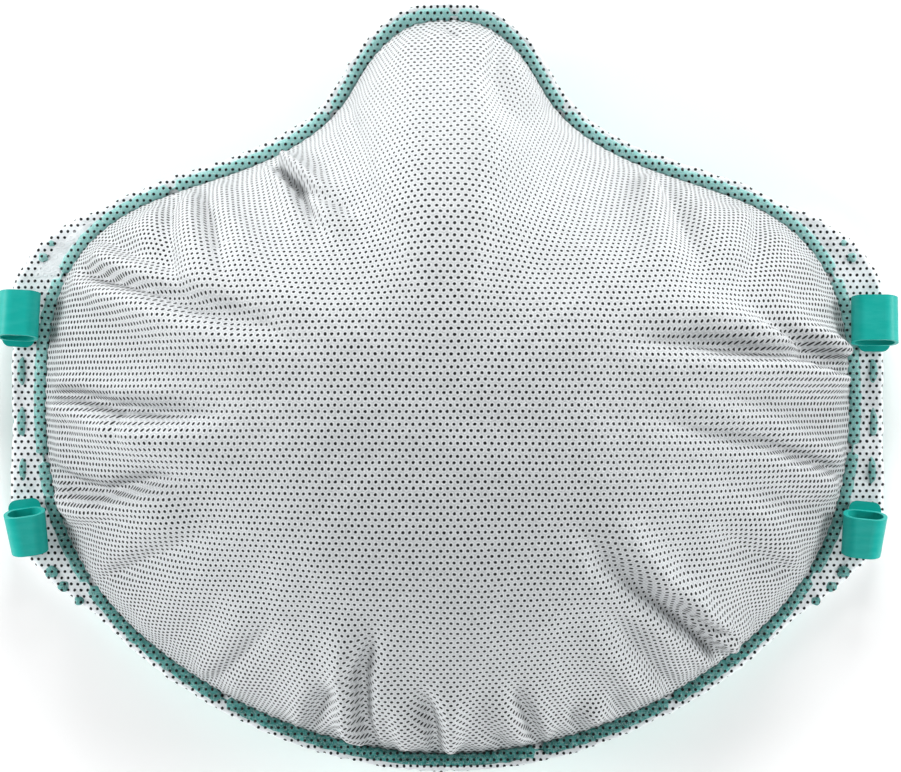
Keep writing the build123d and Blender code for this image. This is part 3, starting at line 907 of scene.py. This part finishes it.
# ---- inside of the mask ------------------------------------------------
LINING_ROWS = 90
LINING_INNER, LINING_END = 0.0004, 2.9  # first ring, and how far inside the bead's line it stops
LINING_GAP, LINING_THICK = 0.05, 0.55
CRINKLE_EDGE, CRINKLE_ALL = 0.22, 0.12  # unevenness of the lining, towards the edge and all over
RIM_SKIP = 2              # the lining and the seal use every second point of the rim

SEAL_SECTION = 26         # points round the seal
SEAL_BOXY = 0.55
GROOVE_DEEP, GROOVE_PLACE, GROOVE_STEEP = 0.22, -3.6, 2.6   # sealing line pressed into its foot

FOAM_STEPS, FOAM_SECTION = 110, 22
FOAM_SWEEP = 1.13         # half turn of the pad round the nose arch, in radians
FOAM_END = 1.135          # turn at which its rounded ends would close
FOAM_HALF, FOAM_DEEP, FOAM_BOXY = 5.6, 1.75, 0.6
FOAM_CLEAR = 6.6          # the pad stays this far inside the bead's line
FOAM_UNDER = 0.75         # below the shell, where the lining is


class MASK_OT_inside(bpy.types.Operator):
    """Make the inner lining, the face seal and the nose foam."""
    bl_idname = "mask.inside"
    bl_label = "Lining, seal and foam"

    def execute(self, context):
        trim = trim_look()
        self.make_lining(trim)
        self.make_seal(trim)
        self.make_foam(trim)
        return {"FINISHED"}

    def make_lining(self, trim):
        plan = cup_grid(LINING_ROWS, LINING_INNER, LINING_END)
        x, y = plan[..., 0], plan[..., 1]
        outer = np.dstack([x, y, cup_height(x, y) - LINING_DEPTH - LINING_GAP])
        turn = np.broadcast_to(np.arange(RIM_COUNT) / RIM_COUNT, x.shape)
        edge_waves = waves(turn, 61, 24, 80) * np.exp(-inside_distance(plan) / 18)
        crinkle = CRINKLE_EDGE * edge_waves + CRINKLE_ALL * cloth_noise(x, y, 63, 9.0)
        inner = outer - [0, 0, LINING_THICK]
        inner[..., 2] -= np.abs(crinkle)
        points = np.concatenate([outer[:, ::RIM_SKIP], inner[::-1, ::RIM_SKIP]], axis=0)
        rows, columns = points.shape[:2]
        faces = grid_faces(rows, columns, closed_rows=True, closed_columns=True, flip=True)
        lining = make_mesh("lining_cloth", points.reshape(-1, 3), faces)
        material = soft_cloth("lining_cloth", opaque(trim.lining), shaded(trim.lining, 0.86))
        finish_piece(lining, "mask", "lining", material, "inner_lining")

    def make_seal(self, trim):
        angles = np.linspace(0, TAU, SEAL_SECTION, endpoint=False)
        wide, deep = (SEAL_OUT - SEAL_IN) / 2, SEAL_THICK / 2
        across = (SEAL_IN + SEAL_OUT) / 2 + wide * boxier(np.cos(angles), SEAL_BOXY)
        lift = deep + deep * boxier(np.sin(angles), SEAL_BOXY)
        groove = GROOVE_DEEP * np.cos((across - GROOVE_PLACE) * GROOVE_STEEP)**8
        lift = np.where(lift < 0.4, lift + groove, lift)
        rim, outward = RIM[::RIM_SKIP, None, :], OUTWARD[::RIM_SKIP, None, :]
        plan = rim + outward * across[None, :, None]
        height = np.stack([edge_height(plan[:, j, 1], lift[j]) for j in range(SEAL_SECTION)], 1)
        grid = np.dstack([plan, height])
        faces = grid_faces(len(rim), SEAL_SECTION, closed_rows=True, closed_columns=True,
                           flip=True)
        seal = make_mesh("soft_face_seal", grid.reshape(-1, 3), faces)
        material = moulded("seal_rubber", opaque(trim.seal), shaded(trim.seal, 1.5), 0.62, 0.0)
        finish_piece(seal, "mask", "seal_rubber", material, "face_seal")

    def foam_section(self, turn):
        """One closed section of the pad, at a turn round the middle of the nose arch."""
        spin = np.linspace(0, TAU, FOAM_SECTION, endpoint=False)
        way = np.array([math.sin(turn), math.cos(turn)])
        inner = NOSE_ARCH - FOAM_HALF
        reaches = np.arange(inner, NOSE_ARCH + FOAM_HALF, 0.2)
        fits = inside_distance(np.array([0, NOSE_MIDDLE]) + reaches[:, None] * way) > FOAM_CLEAR
        outer = reaches[fits & (np.cumsum(~fits) == 0)].max()
        end = math.sqrt(max(1 - (abs(turn) / FOAM_END)**10, 0.02))
        across = (outer + inner) / 2 + (outer - inner) / 2 * end * boxier(np.cos(spin), FOAM_BOXY)
        rise = FOAM_DEEP * end * boxier(np.sin(spin), FOAM_BOXY)
        plan = np.array([0, NOSE_MIDDLE]) + across[:, None] * way
        top = cup_height(plan[:, 0], plan[:, 1]) - LINING_DEPTH - FOAM_UNDER
        return np.column_stack([plan, top - FOAM_DEEP + rise])

    def make_foam(self, trim):
        turns = np.linspace(-FOAM_SWEEP, FOAM_SWEEP, FOAM_STEPS)
        points, faces = joined([np.array([self.foam_section(turn) for turn in turns])])
        foam = make_mesh("nose_foam_pad", points, faces)
        material = open_foam("nose_foam", opaque(trim.foam), shaded(trim.foam, 0.4))
        finish_piece(foam, "mask", "foam", material, "nose_foam")


# ---- finishes of the CAD pieces ----------------------------------------
FELT, FELT_SHADE = (0.86, 0.87, 0.86, 1), (0.72, 0.74, 0.73, 1)
SHELL, SHELL_SHADE = (0.80, 0.81, 0.80, 1), (0.66, 0.68, 0.67, 1)


class MASK_OT_finishes(bpy.types.Operator):
    """Give the strap guides, tab strips, clip and filter layers their materials."""
    bl_idname = "mask.finishes"
    bl_label = "Guides, clip and filter layers"

    def execute(self, context):
        trim = trim_look()
        guide = moulded("guide_plastic", opaque(trim.teal), opaque(trim.teal_pale))
        felt = soft_cloth("filter_felt", FELT, FELT_SHADE, 1.8, 0.92)
        shell = soft_cloth("shell_fibre", SHELL, SHELL_SHADE, 1.0, 0.7)
        finishes = {"prefilter_layer": felt, "filter_media": felt, "support_shell": shell,
                    "nose_clip": brushed_metal("clip_metal", trim.metal)}
        for word in ("left", "right"):
            for part in ("tab_strip", "upper_strap_guide", "lower_strap_guide"):
                finishes[f"{word}_{part}"] = guide
        for name, material in finishes.items():
            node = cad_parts[name]
            node.data.materials.clear()
            node.data.materials.append(material)
            for polygon in node.data.polygons:
                polygon.material_index = 0
        return {"FINISHED"}


# ---- stage -------------------------------------------------------------
SENSOR = 36.0             # width of the camera's sensor
CAMERA_ASIDE = 0.5        # the camera stands this far right of the mask's middle
FLOOR_HALF = 1500.0
LAMP_SIZE = 0.5           # metres
# Each lamp's place in metres, and its power as a share of the key light's.
LAMPS = {"key": ((0.10, 1.00, 0.40), 1.0), "left_fill": ((-1.00, 0.10, 0.38), 1.05),
         "right_fill": ((1.00, 0.10, 0.38), 0.86), "chin_fill": ((0.10, -1.00, 0.40), 0.64)}


class MASK_OT_stage(bpy.types.Operator):
    """Make the floor, the camera and the soft lights."""
    bl_idname = "mask.stage"
    bl_label = "Camera, floor and lights"

    def execute(self, context):
        stage = context.scene.mask_stage
        self.make_camera(context, stage)
        self.make_floor(stage)
        self.make_lights(context, stage)
        context.scene.view_settings.view_transform = "Standard"
        return {"FINISHED"}

    def make_camera(self, context, stage):
        camera = bpy.data.cameras.new("camera")
        camera.sensor_width = SENSOR
        camera.lens = SENSOR * (stage.camera_height - EDGE_TOP * MM) / stage.view_width
        holder = bpy.data.objects.new("camera", camera)
        holder.location = (CAMERA_ASIDE * MM, 0.0, stage.camera_height)
        context.scene.collection.objects.link(holder)
        context.scene.camera = holder

    def make_floor(self, stage):
        corners = [(x * FLOOR_HALF, y * FLOOR_HALF, 0)
                   for x, y in ((-1, -1), (1, -1), (1, 1), (-1, 1))]
        floor = make_mesh("floor", corners, [(0, 1, 2, 3)])
        nodes = Nodes("floor_paper")
        grain = nodes.noise(nodes.millimetres(), 0.4, 3.0)
        tone = nodes.mix(grain, shaded(stage.floor, 0.985), opaque(stage.floor))
        floor.data.materials.append(nodes.finish(
            tone, 0.9, Emission_Color=opaque(stage.floor), Emission_Strength=stage.floor_glow))

    def make_lights(self, context, stage):
        for name, (place, share) in LAMPS.items():
            light = bpy.data.lights.new(name, "AREA")
            light.shape, light.size = "SQUARE", LAMP_SIZE
            light.energy = stage.key_power * share
            lamp = bpy.data.objects.new(name, light)
            lamp.location = place
            aim = -np.array(place)
            tilt = math.atan2(math.hypot(aim[0], aim[1]), -aim[2])
            lamp.rotation_euler = (tilt, 0, math.atan2(aim[0], -aim[1]) + math.pi)
            context.scene.collection.objects.link(lamp)
        world = bpy.data.worlds.new("room")
        world.use_nodes = True
        background = world.node_tree.nodes["Background"]
        background.inputs[0].default_value = (1.0, 1.0, 1.0, 1.0)
        background.inputs[1].default_value = stage.ambient
        context.scene.world = world


# ---- add-on ------------------------------------------------------------
OPERATORS = (MASK_OT_stage, MASK_OT_cover, MASK_OT_edge, MASK_OT_welds, MASK_OT_inside,
             MASK_OT_finishes)


class MASK_PT_panel(bpy.types.Panel):
    """Lists the mask's settings and the steps that make it."""
    bl_idname = "MASK_PT_panel"
    bl_label = "Dust mask"
    bl_space_type = "VIEW_3D"
    bl_region_type = "UI"
    bl_category = "Dust mask"

    def draw(self, context):
        for settings in (context.scene.mask_cover, context.scene.mask_trim,
                         context.scene.mask_stage):
            box = self.layout.box()
            for name in settings.bl_rna.properties.keys():
                if name not in ("rna_type", "name"):
                    box.prop(settings, name)
        for operator in OPERATORS:
            self.layout.operator(operator.bl_idname)


SETTINGS = {"mask_cover": MaskCoverSettings, "mask_trim": MaskTrimSettings,
            "mask_stage": MaskStageSettings}
CLASSES = (*SETTINGS.values(), *OPERATORS, MASK_PT_panel)


def register():
    for kind in CLASSES:
        bpy.utils.register_class(kind)
    for name, kind in SETTINGS.items():
        setattr(bpy.types.Scene, name, bpy.props.PointerProperty(type=kind))


def unregister():
    for name in SETTINGS:
        delattr(bpy.types.Scene, name)
    for kind in reversed(CLASSES):
        bpy.utils.unregister_class(kind)


def main():
    """Registers the add-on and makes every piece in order."""
    register()
    for operator in OPERATORS:
        group, name = operator.bl_idname.split(".")
        getattr(getattr(bpy.ops, group), name)()


if __name__ == "__main__":
    main()
